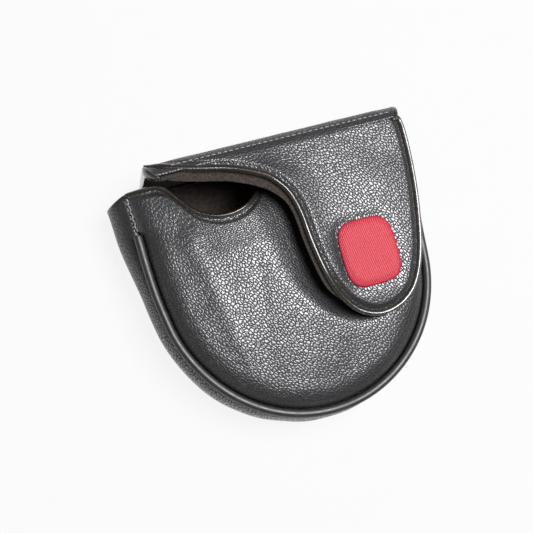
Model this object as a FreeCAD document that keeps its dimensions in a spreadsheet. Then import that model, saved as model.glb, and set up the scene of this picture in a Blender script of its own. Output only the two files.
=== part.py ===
"""Mallet putter head cover: a padded half-round pouch with a fold-over magnetic flap.

The cover lies on its back panel.  +Z is up through the pouch, +X runs along the straight
fold edge and -Y points to the round end.  The origin is on the resting face, under the
centre of the round end's arc.  All lengths are in millimetres.

Every wall is a sandwich: leather outside, foam in the middle, plush lining inside.  The
sketches and features take their sizes from the two sheets below by expressions, so the
helpers here pass formulas about as text.
"""

import FreeCAD, Part, Sketcher
import math
import os

Vector = FreeCAD.Vector
doc = FreeCAD.newDocument("putter_cover")

# ---------------------------------------------------------------- driving dimensions
SIZES = [
    ("leather_thick", 1.0, "outer leather, thickness"),
    ("foam_thick", 2.0, "foam padding, thickness"),
    ("plush_thick", 1.6, "plush lining, thickness with its pile"),
    ("ply_gap", 0.1, "air between two plies"),
    ("seam_radius", 61.0, "round end, radius at the piping bead"),
    ("flare", 5.5, "straight sides, lean outwards in degrees"),
    ("bead_radius", 2.0, "piping bead, radius"),
    ("bead_gap", 0.3, "piping bead to the panels beside it"),
    ("bead_stop", 20.0, "piping, from its two cut ends to the front panel's mouth"),
    ("tail_thick", 0.5, "piping tail, thickness"),
    ("tail_width", 5.5, "piping tail, width inwards from the bead's centre"),
    ("tail_gap", 0.15, "piping tail to the plies sewn on it"),
    ("back_round", 3.2, "back panel, radius of its turned-up edge"),
    ("back_corner", 6.0, "back panel, radius of its two top corners"),
    ("side_height", 25.5, "side band, height between its two seams"),
    ("side_tuck", 0.3, "side band, how far its edges tuck inside the bead's centre"),
    ("side_bulge", 4.6, "side band, how far its middle swells out"),
    ("crown_rise", 11.3, "front panel, its crown over the front seam"),
    ("crown_radius", 450.0, "front panel, radius of its crown"),
    ("crown_place", 10.0, "front panel, place of its crown along Y"),
    ("shoulder", 8.0, "front panel, radius of its shoulder"),
    ("mouth_gap", 0.4, "mouth binding to the spine band's binding"),
    ("mouth_lean", 1.9, "mouth, how far it leans back from the back seam to the front panel"),
    ("notch_in", 28.0, "shaft notch, its middle, in from the spine band's left end"),
    ("notch_depth", 21.0, "shaft notch, depth from the mouth"),
    ("notch_radius", 21.0, "shaft notch, radius of its floor"),
    ("notch_lip", 9.5, "shaft notch, radius of its two lips"),
    ("notch_slope", 55.0, "shaft notch, slope of its sides in degrees"),
    ("bind_wall", 0.6, "edge binding, thickness"),
    ("bind_width", 3.2, "edge binding, width on the face"),
    ("bind_gap", 0.1, "edge binding to the plies inside it"),
    ("rest_gap", 0.3, "closed flap to the mouth binding, and any two moving faces"),
    ("fold_place", 66.5, "spine band, its outer face along Y"),
    ("fold_round", 5.8, "spine band, outer radius of its rounded top"),
    ("fold_gap", 0.4, "spine band to flap along their seam"),
    ("spine_in", 8.0, "spine band, its left end inside the round end's width"),
    ("spine_out", 2.0, "spine band, its right end beyond the round end's width"),
    ("spine_foot", 1.3, "spine band, height of its foot over the ground"),
    ("neck_radius", 26.6, "flap, radius of the sweep round the notch"),
    ("neck_in", 31.9, "flap, centre of that sweep, in from the spine band's left end"),
    ("neck_drop", 37.6, "flap, centre of that sweep, down from the fold"),
    ("lead_slope", 14.0, "flap, slope of its edge where it leaves the spine"),
    ("tongue_radius", 22.0, "flap, radius of the tongue's end"),
    ("tongue_in", 29.6, "flap, centre of the tongue, in from the spine band's right end"),
    ("tongue_drop", 68.9, "flap, centre of the tongue, down from the fold"),
    ("hip_lean", 13.0, "flap, lean of its right edge in degrees"),
    ("hip_radius", 60.0, "flap, radius where the right edge turns upright"),
    ("hip_out", 0.8, "flap, its right edge beyond the spine band's end"),
    ("magnet_radius", 7.5, "closure magnets, radius"),
    ("magnet_thick", 1.2, "closure magnets, thickness"),
    ("film", 0.2, "film cup that holds a magnet, thickness"),
    ("film_rim", 2.0, "film cup, width of its welded rim"),
    ("film_gap", 0.1, "magnet to its film cup, and cup to the foam"),
    ("patch_width", 26.6, "patch, width"),
    ("patch_height", 29.0, "patch, height"),
    ("patch_corner", 9.0, "patch, corner radius"),
    ("patch_thick", 0.7, "patch, thickness of its ground"),
    ("patch_rim", 1.8, "patch, width of its satin-stitched border"),
    ("patch_rise", 0.4, "patch, how far the border stands over the ground"),
    ("patch_gap", 0.05, "patch to the leather, and border to ground"),
    ("patch_in", 30.7, "patch, its middle, in from the spine band's right end"),
    ("patch_drop", 63.9, "patch, its middle, down from the fold"),
]

sheet = doc.addObject("Spreadsheet::Sheet", "Sizes")
for row, (alias, value, note) in enumerate(SIZES, start=1):
    sheet.set(f"A{row}", str(value))
    sheet.setAlias(f"A{row}", alias)
    sheet.set(f"B{row}", note)
doc.recompute()

# ---------------------------------------------------------------- what follows from them
LEVELS = [
    ("foam_top", "Sizes.leather_thick + Sizes.ply_gap"),
    ("foam_end", "Levels.foam_top + Sizes.foam_thick"),
    ("lining_top", "Levels.foam_end + Sizes.ply_gap"),
    ("wall", "Levels.lining_top + Sizes.plush_thick"),
    ("binding", "Sizes.bind_wall + Sizes.bind_gap"),
    ("edge", "Sizes.seam_radius - Sizes.bead_radius - Sizes.bead_gap"),
    ("side_low", "Levels.wall + Sizes.ply_gap"),
    ("side_high", "Levels.side_low + Sizes.side_height"),
    ("seam_step", "Sizes.tail_thick + 2 * Sizes.tail_gap"),
    ("back_edge", "Levels.side_low - Levels.seam_step"),
    ("front_low", "Levels.side_high + Levels.seam_step"),
    ("crown_height", "Levels.front_low + Sizes.crown_rise"),
    ("crown_centre", "Levels.crown_height - Sizes.crown_radius"),
    ("mouth_back", "Sizes.fold_place - Levels.wall - 2 * Levels.binding - Sizes.mouth_gap"),
    ("mouth_front", "Levels.mouth_back - Sizes.mouth_lean"),
    ("back_reach", "Sizes.fold_place - Sizes.rest_gap"),
    ("back_stop", "Levels.back_reach - Levels.wall - Levels.binding"),
    ("flap_radius", "Sizes.crown_radius + 2 * Levels.binding + Sizes.rest_gap + Levels.wall"),
    ("hinge_reach", "Sizes.fold_place - Sizes.fold_round"),
    ("flap_start", "Levels.hinge_reach - Sizes.fold_gap"),
    ("hinge_drop", "Levels.hinge_reach - Sizes.crown_place"),
    ("fold_top", "Levels.crown_centre + sqrt(Levels.flap_radius ^ 2 - Levels.hinge_drop ^ 2)"),
    ("fold_centre", "Levels.fold_top - Sizes.fold_round"),
    ("neck_reach", "Sizes.fold_place - Sizes.neck_drop"),
    ("tongue_reach", "Sizes.fold_place - Sizes.tongue_drop"),
    ("patch_reach", "Sizes.fold_place - Sizes.patch_drop"),
    ("spine_left", "Sizes.spine_in - Sizes.seam_radius"),
    ("spine_right", "Sizes.spine_out + Sizes.seam_radius"),
    ("notch_place", "Levels.spine_left + Sizes.notch_in"),
    ("neck_place", "Levels.spine_left + Sizes.neck_in"),
    ("tongue_place", "Levels.spine_right - Sizes.tongue_in"),
    ("patch_place", "Levels.spine_right - Sizes.patch_in"),
    ("hip_place", "Levels.spine_right + Sizes.hip_out"),
    ("core", "Levels.edge - 2.4 * Sizes.shoulder"),
    ("core_end", "1.2 * Sizes.fold_place"),
    ("side_length", "1.3 * Sizes.fold_place"),
    ("far", "4 * Sizes.seam_radius"),
]
levels = doc.addObject("App::VarSet", "Levels")
for name, formula in LEVELS:
    levels.addProperty("App::PropertyFloat", name, "Levels")
    levels.setExpression(name, formula)
doc.recompute()

PLIES = {"panel": ("0", "Sizes.leather_thick"),
         "foam": ("Levels.foam_top", "Levels.foam_end"),
         "lining": ("Levels.lining_top", "Levels.wall")}


def number(formula):
    value = sheet.evalExpression(formula)
    return float(getattr(value, "Value", value))


# ---------------------------------------------------------------- sketches and features
def draw(sketch, corners):
    """A closed outline with every corner and radius bound to its formula.

    A corner is (x, y), or (x, y, radius) where an arc leads on to the next corner; the
    radius has a minus where that arc turns clockwise.
    """
    points = [(number(corner[0]), number(corner[1])) for corner in corners]
    ends = []
    for corner, a, b in zip(corners, points, points[1:] + points[:1]):
        if len(corner) == 2:
            ends.append((sketch.addGeometry(Part.LineSegment(Vector(*a), Vector(*b)), False), 1, 2))
            continue
        radius = number(corner[2])
        dx, dy = b[0] - a[0], b[1] - a[1]
        chord = math.hypot(dx, dy)
        rise = math.copysign(math.sqrt(radius ** 2 - chord ** 2 / 4), radius)
        cx = (a[0] + b[0]) / 2 - dy / chord * rise
        cy = (a[1] + b[1]) / 2 + dx / chord * rise
        first, last = (a, b) if radius > 0 else (b, a)
        start = math.atan2(first[1] - cy, first[0] - cx)
        turn = (math.atan2(last[1] - cy, last[0] - cx) - start) % (2 * math.pi)
        circle = Part.Circle(Vector(cx, cy), Vector(0, 0, 1), abs(radius))
        geo = sketch.addGeometry(Part.ArcOfCircle(circle, start, start + turn), False)
        ends.append((geo, 1, 2) if radius > 0 else (geo, 2, 1))
        rule = sketch.addConstraint(Sketcher.Constraint("Radius", geo, abs(radius)))
        sketch.setExpression(f"Constraints[{rule}]", f"abs({corner[2]})")
    for i, corner in enumerate(corners):
        geo, start, _ = ends[i]
        before, _, end = ends[i - 1]
        sketch.addConstraint(Sketcher.Constraint("Coincident", before, end, geo, start))
        for kind, formula, value in zip(("DistanceX", "DistanceY"), corner, points[i]):
            rule = sketch.addConstraint(Sketcher.Constraint(kind, -1, 1, geo, start, value))
            sketch.setExpression(f"Constraints[{rule}]", formula)
    return sketch


def bound(item, formulas):
    for place, formula in formulas.items():
        item.setExpression(place, formula)
    return item


def plan(corners, low, high):
    """An upright prism on a plan outline, between two levels."""
    sketch = draw(doc.addObject("Sketcher::SketchObject", "Plan"), corners)
    bound(sketch, {"Placement.Base.z": low})
    prism = doc.addObject("Part::Extrusion", "Upright")
    prism.Base, prism.DirMode, prism.Solid = sketch, "Normal", True
    return bound(prism, {"LengthFwd": f"({high}) - ({low})"})


def profile(corners, left, right):
    """A level prism along X on an outline of Y and Z, between two places."""
    sketch = draw(doc.addObject("Sketcher::SketchObject", "Profile"), corners)
    sketch.Placement = FreeCAD.Placement(Vector(), FreeCAD.Rotation(Vector(1, 1, 1), 120))
    bound(sketch, {"Placement.Base.x": left})
    prism = doc.addObject("Part::Extrusion", "Level")
    prism.Base, prism.DirMode, prism.Solid = sketch, "Normal", True
    return bound(prism, {"LengthFwd": f"({right}) - ({left})"})


def joined(kind, first, second):
    """Part::Cut, Part::Common or Part::Fuse of two objects."""
    item = doc.addObject(kind, kind[6:])
    item.Base, item.Tool = first, second
    return item


def cut(first, second):
    return joined("Part::Cut", first, second)


def common(first, second):
    return joined("Part::Common", first, second)


def block(x0, x1, y0, y1, z0, z1):
    return plan([(x0, y0), (x1, y0), (x1, y1), (x0, y1)], z0, z1)


def dee(inset, reach):
    """The pouch's plan, round at -Y and flared towards +Y."""
    r = f"(Sizes.seam_radius - ({inset}))"
    x, y = f"{r} * cos(Sizes.flare)", f"-{r} * sin(Sizes.flare)"
    out = f"{x} + (({reach}) - ({y})) * tan(Sizes.flare)"
    return [(f"-({out})", reach), (f"-{x}", y, r), (x, y), (out, reach)]


def origin_plane(body, role):
    return next(item for item in body.Origin.OriginFeatures if item.Role == role)


def led_round(sections, length, core=None):
    """A body from wall sections (distance out, height) led round the end and up both sides.

    A core is a plan outline and two levels, and fills the middle.
    """
    body = doc.addObject("PartDesign::Body", "Wall")
    sides = []
    if core:
        outline, low, high = core
        sketch = body.newObject("Sketcher::SketchObject", "Core")
        sketch.AttachmentSupport, sketch.MapMode = [(origin_plane(body, "XY_Plane"), "")], "FlatFace"
        bound(draw(sketch, outline), {"AttachmentOffset.Base.z": low})
        pad = body.newObject("PartDesign::Pad", "Middle")
        pad.Profile = sketch
        bound(pad, {"Length": f"({high}) - ({low})"})
    for corners in sections:
        sketch = body.newObject("Sketcher::SketchObject", "EndSection")
        sketch.AttachmentSupport, sketch.MapMode = [(origin_plane(body, "YZ_Plane"), "")], "FlatFace"
        draw(sketch, [(f"-({out})", z) for out, z in corners])
        turn = body.newObject("PartDesign::Revolution", "RoundEnd")
        turn.Profile, turn.ReferenceAxis, turn.Midplane = sketch, (sketch, ["V_Axis"]), True
        bound(turn, {"Angle": "180 - 2 * Sizes.flare"})
    for corners in sections:
        sketch = body.newObject("Sketcher::SketchObject", "SideSection")
        sketch.AttachmentSupport, sketch.MapMode = [(origin_plane(body, "XZ_Plane"), "")], "FlatFace"
        sketch.AttachmentOffset = FreeCAD.Placement(Vector(), FreeCAD.Rotation(Vector(0, -1, 0), 5))
        bound(draw(sketch, corners), {"AttachmentOffset.Rotation.Angle": "Sizes.flare"})
        side = body.newObject("PartDesign::Pad", "RightSide")
        side.Profile, side.Reversed = sketch, True
        bound(side, {"Length": length})
        sides.append(side)
    mirror = body.newObject("PartDesign::Mirrored", "LeftSide")
    mirror.Originals, mirror.MirrorPlane = sides, (origin_plane(body, "YZ_Plane"), [""])
    body.Tip = mirror
    return body


# ---------------------------------------------------------------- the walls
SHOULDER_TURNS = (0, 30, 60)
LAST_SLOPE = 17


def dome(inset, low):
    """The puffed front: a dee with a rounded shoulder under a wide crown."""
    edge, r = f"(Levels.edge - ({inset}))", f"(Sizes.shoulder - ({inset}))"
    middle = "(Levels.edge - Sizes.shoulder)"
    inside = "(Levels.core - 1)"
    rim = [(f"{middle} + {r} * cos({a})", f"Levels.front_low + {r} * sin({a})") for a in SHOULDER_TURNS]
    last = SHOULDER_TURNS[-1]
    top = (f"Levels.front_low + {r} * sin({last})"
           f" + ({middle} + {r} * cos({last}) - {inside}) * tan({LAST_SLOPE})")
    blank = led_round([[(inside, low), (edge, low)] + rim + [(inside, top)]], "Levels.side_length",
                      (dee("Sizes.seam_radius - Levels.core", "Levels.core_end"), low,
                       "Levels.crown_height + 1"))
    ball = doc.addObject("Part::Sphere", "Crown")
    ball.Placement.Rotation = FreeCAD.Rotation(Vector(1, 0, 0), 90)
    bound(ball, {"Radius": f"Sizes.crown_radius - ({inset})", "Placement.Base.y": "Sizes.crown_place",
                 "Placement.Base.z": "Levels.crown_centre"})
    return common(blank, ball)


def front_layer(start, end):
    return cut(dome(start, "Levels.front_low - 1"), dome(end, "Levels.front_low - 2"))


def mouth(grow):
    """Everything on the pouch's side of the front panel's mouth edge, notch cut out."""
    top, place = f"Levels.mouth_front + ({grow})", "Levels.notch_place"
    lip, floor_r = f"(Sizes.notch_lip + ({grow}))", f"(Sizes.notch_radius - ({grow}))"
    sin, cos, tan = (f"{name}(Sizes.notch_slope)" for name in ("sin", "cos", "tan"))
    foot_x = f"{floor_r} * {sin}"
    foot_y = f"Levels.mouth_front - Sizes.notch_depth + ({grow}) + {floor_r} * (1 - {cos})"
    head_y = f"{top} - {lip} * (1 - {cos})"
    head_x = f"{foot_x} + ({head_y} - ({foot_y})) / {tan}"
    lip_x = f"{head_x} + {lip} * {sin}"
    return plan([("Levels.far", "-Levels.far"), ("Levels.far", top),
                 (f"{place} + {lip_x}", top, lip), (f"{place} + {head_x}", head_y),
                 (f"{place} + {foot_x}", foot_y, f"-{floor_r}"), (f"{place} - ({foot_x})", foot_y),
                 (f"{place} - ({head_x})", head_y, lip), (f"{place} - ({lip_x})", top),
                 ("-Levels.far", top), ("-Levels.far", "-Levels.far")],
                "Levels.front_low", "2 * Levels.crown_height")


SIDE_CHORDS = 3


def side_layer(start, end):
    """The side band: a bulged strip, flat at its two seams."""
    def line(depth):
        return [(f"Sizes.seam_radius - Sizes.side_tuck - ({depth})"
                 f" + Sizes.side_bulge * {1 - (2 * i / SIDE_CHORDS - 1) ** 2:g}",
                 f"Levels.side_low + Sizes.side_height * {i / SIDE_CHORDS:g}")
                for i in range(SIDE_CHORDS + 1)]
    return led_round([line(start) + line(end)[::-1]], "Levels.side_length")


def slant(grow):
    """Everything on the pouch's side of the side band's slanted mouth plane."""
    lean = "(Sizes.mouth_lean / (Levels.side_high - Levels.side_low))"
    ends = [(f"Levels.mouth_back + ({grow}) - {lean} * ({z} - Levels.side_low)", z)
            for z in ("0", "2 * Levels.crown_height")]
    return profile([("-Levels.far", "0"), ends[0], ends[1], ("-Levels.far", "2 * Levels.crown_height")],
                   "-Levels.far", "Levels.far")


BEAD_SIDES = 8


def piping(bead_centre, tail_low):
    """A bead and the flat tail that is sewn between the two walls, cut square at its ends."""
    bead = [(f"Sizes.seam_radius + Sizes.bead_radius * cos({a:g})",
             f"{bead_centre} + Sizes.bead_radius * sin({a:g})")
            for a in ((i + 0.5) * 360 / BEAD_SIDES for i in range(BEAD_SIDES))]
    inner, top = "Sizes.seam_radius - Sizes.tail_width", f"{tail_low} + Sizes.tail_thick"
    tail = [(inner, tail_low), ("Sizes.seam_radius", tail_low), ("Sizes.seam_radius", top), (inner, top)]
    return led_round([bead, tail],
                     "Levels.mouth_front - Sizes.bead_stop + Sizes.seam_radius * sin(Sizes.flare)")


# ---------------------------------------------------------------- spine band, flap and patch
def arch(start, end):
    """A tube about the flap's own arch, between two depths under its outer face."""
    tubes = []
    for depth in (start, end):
        tube = doc.addObject("Part::Cylinder", "Arch")
        tube.Placement.Rotation = FreeCAD.Rotation(Vector(0, 1, 0), 90)
        bound(tube, {"Radius": f"Levels.flap_radius - ({depth})", "Height": "2 * Levels.far",
                     "Placement.Base.x": "-Levels.far", "Placement.Base.y": "Sizes.crown_place",
                     "Placement.Base.z": "Levels.crown_centre"})
        tubes.append(tube)
    return cut(*tubes)


def flap_plan(grow):
    """The flap's plan: the sweep round the notch, the tongue and the leaning right edge."""
    neck_r, tongue_r = f"(Sizes.neck_radius - ({grow}))", f"(Sizes.tongue_radius + ({grow}))"
    hip_r, hip_x = f"(Sizes.hip_radius + ({grow}))", f"(Levels.hip_place + ({grow}))"
    dx, dy = "(Levels.tongue_place - Levels.neck_place)", "(Levels.tongue_reach - Levels.neck_reach)"
    cross = f"(atan2({dy}; {dx}) + acos(({neck_r} + {tongue_r}) / hypot({dx}; {dy})))"

    def neck(angle):
        return (f"Levels.neck_place + {neck_r} * cos({angle})",
                f"Levels.neck_reach + {neck_r} * sin({angle})")

    def tongue(angle):
        return (f"Levels.tongue_place + {tongue_r} * cos({angle})",
                f"Levels.tongue_reach + {tongue_r} * sin({angle})")
    lead = neck("(90 - Sizes.lead_slope)")
    lead_x = f"{lead[0]} - (Levels.flap_start - ({lead[1]})) / tan(Sizes.lead_slope)"
    last = tongue("(-Sizes.hip_lean)")
    hip_y = (f"({last[1]} + (({hip_x} - {hip_r} - ({last[0]})) * cos(Sizes.hip_lean) + {hip_r})"
             f" / sin(Sizes.hip_lean))")
    hip = (f"{hip_x} - {hip_r} * (1 - cos(Sizes.hip_lean))", f"{hip_y} - {hip_r} * sin(Sizes.hip_lean)")
    return plan([(lead_x, "Levels.flap_start"), lead + (f"-{neck_r}",), neck(cross),
                 tongue(f"(180 deg + {cross})") + (tongue_r,), last, hip + (hip_r,), (hip_x, hip_y),
                 (hip_x, "Levels.flap_start")],
                "0", "2 * Levels.crown_height")


def spine(start, end, left, right):
    """A stretch of the spine band between two depths under its outer face."""
    foot, y = "Sizes.spine_foot", "Levels.hinge_reach"
    outer, inner = f"(Sizes.fold_round - ({start}))", f"(Sizes.fold_round - ({end}))"
    return profile([(f"{y} + {inner}", foot), (f"{y} + {outer}", foot),
                    (f"{y} + {outer}", "Levels.fold_centre", outer),
                    (y, f"Levels.fold_centre + {outer}"),
                    (y, f"Levels.fold_centre + {inner}", f"-{inner}"),
                    (f"{y} + {inner}", "Levels.fold_centre")], left, right)


def patch_plan(inset):
    w, h = f"(Sizes.patch_width / 2 - ({inset}))", f"(Sizes.patch_height / 2 - ({inset}))"
    r = f"(Sizes.patch_corner - ({inset}))"
    x, y = "Levels.patch_place", "Levels.patch_reach"
    return plan([(f"{x} - {w} + {r}", f"{y} - {h}"), (f"{x} + {w} - {r}", f"{y} - {h}", r),
                 (f"{x} + {w}", f"{y} - {h} + {r}"), (f"{x} + {w}", f"{y} + {h} - {r}", r),
                 (f"{x} + {w} - {r}", f"{y} + {h}"), (f"{x} - {w} + {r}", f"{y} + {h}", r),
                 (f"{x} - {w}", f"{y} + {h} - {r}"), (f"{x} - {w}", f"{y} - {h} + {r}", r)],
                "0", "2 * Levels.crown_height")


# ---------------------------------------------------------------- closure magnets
def disc(frame, radius, low, high):
    item = doc.addObject("Part::Cylinder", "Disc")
    item.Placement = frame.multiply(FreeCAD.Placement(Vector(0, 0, number(low)), FreeCAD.Rotation()))
    return bound(item, {"Radius": radius, "Height": f"({high}) - ({low})"})


def magnet_set(prefix, place, normal):
    """A disc magnet in its film cup, and the pocket that they take out of the foam."""
    frame = FreeCAD.Placement(place, FreeCAD.Rotation(Vector(0, 0, 1), normal))
    gap, thick, film = "Sizes.film_gap", "Sizes.magnet_thick", "Sizes.film"
    inner, outer = f"Sizes.magnet_radius + {gap}", f"Sizes.magnet_radius + {gap} + {film}"
    rim, top = f"{outer} + Sizes.film_rim", f"2 * {gap} + {thick}"
    node(prefix + "_magnet", disc(frame, "Sizes.magnet_radius", gap, f"{gap} + {thick}"))
    can = joined("Part::Fuse", disc(frame, rim, gap, f"{gap} + {film}"),
                 disc(frame, outer, gap, f"{top} + {film}"))
    node(prefix + "_magnet_cup", cut(can, disc(frame, inner, "0", top)))
    return joined("Part::Fuse", disc(frame, f"{rim} + {gap}", "-Sizes.foam_thick", f"2 * {gap} + {film}"),
                  disc(frame, f"{outer} + {gap}", "0", f"{top} + {film} + {gap}"))


NODES = {}


def node(name, item):
    """One sub-part: an object of the document, by its own name."""
    item.Label = name
    NODES[name] = item


# front wall, with its magnet under the tongue
spot = Vector(number("Levels.patch_place"), number("Levels.patch_reach"), 0)
centre = Vector(0, number("Sizes.crown_place"), number("Levels.crown_centre"))
across = Vector(spot.x - centre.x, spot.y - centre.y, 0)
crown = number("Sizes.crown_radius")
normal = Vector(across.x, across.y, math.sqrt(crown ** 2 - across.Length ** 2)).normalize()
pocket = magnet_set("front", centre + normal * (crown - number("Levels.foam_end")), normal)
for ply, span in PLIES.items():
    layer = common(front_layer(*span), mouth("0"))
    node("front_" + ply, cut(layer, pocket) if ply == "foam" else layer)

# side wall
for ply, span in PLIES.items():
    node("gusset_" + ply, common(side_layer(*span), slant("0")))

# back wall: only the leather runs on under the spine band
TURN_UP = (0, 45, 90)


def turned_up(inset):
    r = f"(Sizes.back_round - ({inset}))"
    return [(f"Levels.edge - Sizes.back_round + {r} * sin({a})",
             f"Sizes.back_round - {r} * cos({a})") for a in TURN_UP]


rim = turned_up("0") + [("Levels.edge", "Levels.back_edge"),
                        ("Levels.edge - Sizes.leather_thick", "Levels.back_edge")]
rim += turned_up("Sizes.leather_thick")[::-1]
flat = "Sizes.seam_radius - Levels.edge + Sizes.back_round"
tray = led_round([rim], "Levels.side_length", (dee(flat, "Levels.core_end"), "0", "Sizes.leather_thick"))
corner = "Sizes.back_corner"
half = ("(Levels.edge * cos(Sizes.flare)"
        " + (Levels.back_reach + Levels.edge * sin(Sizes.flare)) * tan(Sizes.flare))")
rounded = plan([(f"-{half}", "-Levels.far"), (half, "-Levels.far"),
                (half, f"Levels.back_reach - {corner}", corner), (f"{half} - {corner}", "Levels.back_reach"),
                (f"{corner} - {half}", "Levels.back_reach", corner),
                (f"-{half}", f"Levels.back_reach - {corner}")], "-1", "Levels.far")
under_spine = block("-Levels.far", "Levels.far", "Levels.back_stop", "Levels.far",
                    "Sizes.leather_thick", "Levels.far")
node("back_panel", cut(common(tray, rounded), under_spine))
node("back_foam", plan(dee(flat, "Levels.back_stop"), "Levels.foam_top", "Levels.foam_end"))
node("back_lining", plan(dee("Sizes.tail_width + Sizes.tail_gap", "Levels.back_stop"),
                         "Levels.lining_top", "Levels.wall"))

# piping at both seams
node("front_piping", piping("Levels.side_high + Sizes.bead_gap + Sizes.bead_radius",
                            "Levels.side_high + Sizes.tail_gap"))
node("back_piping", piping("Levels.side_low - Sizes.bead_gap - Sizes.bead_radius",
                           "Levels.side_low - Sizes.tail_gap - Sizes.tail_thick"))

# bindings at the pouch's mouth
OVER, UNDER = "-Levels.binding", "Levels.wall + Levels.binding"
OVER_PLY, UNDER_PLY = "-Sizes.bind_gap", "Levels.wall + Sizes.bind_gap"
LAP = "Levels.binding - Sizes.bind_width"
shell, plies = front_layer(OVER, UNDER), front_layer(OVER_PLY, UNDER_PLY)
node("mouth_binding", cut(common(shell, cut(mouth("Levels.binding"), mouth(LAP))),
                          common(plies, mouth("Sizes.bind_gap"))))
shell = common(side_layer(OVER, UNDER), cut(slant("Levels.binding"), slant(LAP)))
trim = cut(shell, common(side_layer(OVER_PLY, UNDER_PLY), slant("Sizes.bind_gap")))
for side, x0, x1 in (("left", "-Levels.far", "0"), ("right", "0", "Levels.far")):
    node("gusset_binding_" + side,
         common(trim, block(x0, x1, "0", "Levels.far", "0", "Levels.far")))

# spine band
for ply, span in PLIES.items():
    node("band_" + ply, spine(*span, "Levels.spine_left + Levels.binding",
                              "Levels.spine_right - Levels.binding"))
for side, x0, x1, y0, y1 in (
        ("left", "Levels.spine_left", "Levels.spine_left + Sizes.bind_width",
         "Levels.spine_left + Sizes.bind_wall", "Levels.spine_right"),
        ("right", "Levels.spine_right - Sizes.bind_width", "Levels.spine_right",
         "Levels.spine_left", "Levels.spine_right - Sizes.bind_wall")):
    node("band_binding_" + side, cut(spine(OVER, UNDER, x0, x1), spine(OVER_PLY, UNDER_PLY, y0, y1)))

# flap
drop = spot.y - centre.y
rise = math.sqrt(number("Levels.flap_radius - Levels.foam_end") ** 2 - drop ** 2)
pocket = magnet_set("flap", Vector(spot.x, spot.y, centre.z + rise), Vector(0, drop, rise).normalize())
for ply, span in PLIES.items():
    layer = common(arch(*span), flap_plan("-Levels.binding"))
    node("flap_" + ply, cut(layer, pocket) if ply == "foam" else layer)
shell = common(arch(OVER, UNDER), cut(flap_plan("0"), flap_plan("-Sizes.bind_width")))
node("flap_binding", cut(shell, common(arch(OVER_PLY, UNDER_PLY), flap_plan("-Sizes.bind_wall"))))
on = "-Sizes.patch_gap"
node("patch_base", common(arch(f"{on} - Sizes.patch_thick", on),
                          patch_plan("Sizes.patch_rim + Sizes.patch_gap")))
node("patch_border", common(arch(f"{on} - Sizes.patch_thick - Sizes.patch_rise", on),
                            cut(patch_plan("0"), patch_plan("Sizes.patch_rim"))))

# ---------------------------------------------------------------- check and write
doc.recompute()
for item in doc.Objects:
    if "Invalid" in item.State or "Error" in item.State:
        raise RuntimeError(item.Name + " failed")
os.makedirs("parts", exist_ok=True)
for name, item in NODES.items():
    shape = item.Shape
    if shape.isNull() or not shape.isValid() or len(shape.Solids) != 1:
        raise RuntimeError(f"{name}: {len(shape.Solids)} solids, valid {shape.isValid()}")
    shape.Solids[0].exportStep(f"parts/{name}.step")
    box = shape.optimalBoundingBox()
    print(f"{name:22s} {shape.Volume:9.0f} mm3  x {box.XMin:7.2f} {box.XMax:7.2f}"
          f"  y {box.YMin:7.2f} {box.YMax:7.2f}  z {box.ZMin:6.2f} {box.ZMax:6.2f}")
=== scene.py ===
import math

import bmesh
import bpy
import numpy as np
from mathutils import Matrix, Vector


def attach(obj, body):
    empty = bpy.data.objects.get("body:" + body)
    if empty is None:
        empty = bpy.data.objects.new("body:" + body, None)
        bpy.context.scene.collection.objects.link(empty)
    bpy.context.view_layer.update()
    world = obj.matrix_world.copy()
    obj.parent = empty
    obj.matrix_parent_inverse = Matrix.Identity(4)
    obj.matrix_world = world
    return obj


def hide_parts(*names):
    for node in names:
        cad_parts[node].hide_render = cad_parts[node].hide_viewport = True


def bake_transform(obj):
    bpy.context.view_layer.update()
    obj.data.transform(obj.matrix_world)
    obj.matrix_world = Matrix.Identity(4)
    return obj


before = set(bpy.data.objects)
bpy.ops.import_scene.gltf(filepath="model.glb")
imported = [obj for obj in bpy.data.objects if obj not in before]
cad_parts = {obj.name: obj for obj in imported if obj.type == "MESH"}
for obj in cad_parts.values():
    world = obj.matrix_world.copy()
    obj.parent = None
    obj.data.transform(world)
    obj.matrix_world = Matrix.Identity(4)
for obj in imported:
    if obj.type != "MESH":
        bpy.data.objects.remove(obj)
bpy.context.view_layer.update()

# ---- Front panel, leather over foam -------------------------------------------------
# The puffed face of the pouch: black pebbled synthetic leather backed with foam, cut as a
# half-round, sewn to the side band over a piping cord and left open along the mouth,
# where a scalloped notch lets the putter's neck through.

# Lengths are in mm: X to the right, Y towards the mouth, Z up from the back.
SEAM = 61.0          # radius of the round end at the piping cord
SIDE_SHARE = 0.27    # share of the seam's run that each straight side takes
FLARE = math.radians(5.5)    # how far each side leans out towards the mouth
SLUMP, PULL = 3.3, 3.5       # the left side sags outwards, the right is drawn in by the band
MOUTH, CORD_END = 58.0, 38.0          # Y of the mouth, and of the piping's two ends
NOTCH_X, NOTCH_LOW = -25.0, 37.0      # the notch's middle, and how low its scoop reaches
NOTCH_R, LIP_R = 21.0, 9.5            # radii of the scoop and of the lips beside it
FRONT_LOW, CROWN = 31.2, 42.5         # height of the front at its seam and at its middle
SHOULDER = 9.5       # radius of the padded rim of the front
LEATHER = 1.0        # thickness of the leather ply
DIP, RIDGE, CREASE = 5.0, 0.5, 0.25   # slack of the leather: by the flap, and two small folds


def smooth(a, b, x):
    """0 below a, 1 above b, an S between."""
    t = np.clip((x - a) / (b - a), 0, 1)
    return t * t * (3 - 2 * t)


def lattice(rows, columns):
    """Two grids from 0 to 1: one runs along the columns, one down the rows."""
    along = np.linspace(0, 1, columns)[None, :] * np.ones((rows, 1))
    down = np.linspace(0, 1, rows)[:, None] * np.ones((1, columns))
    return along, down


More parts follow.
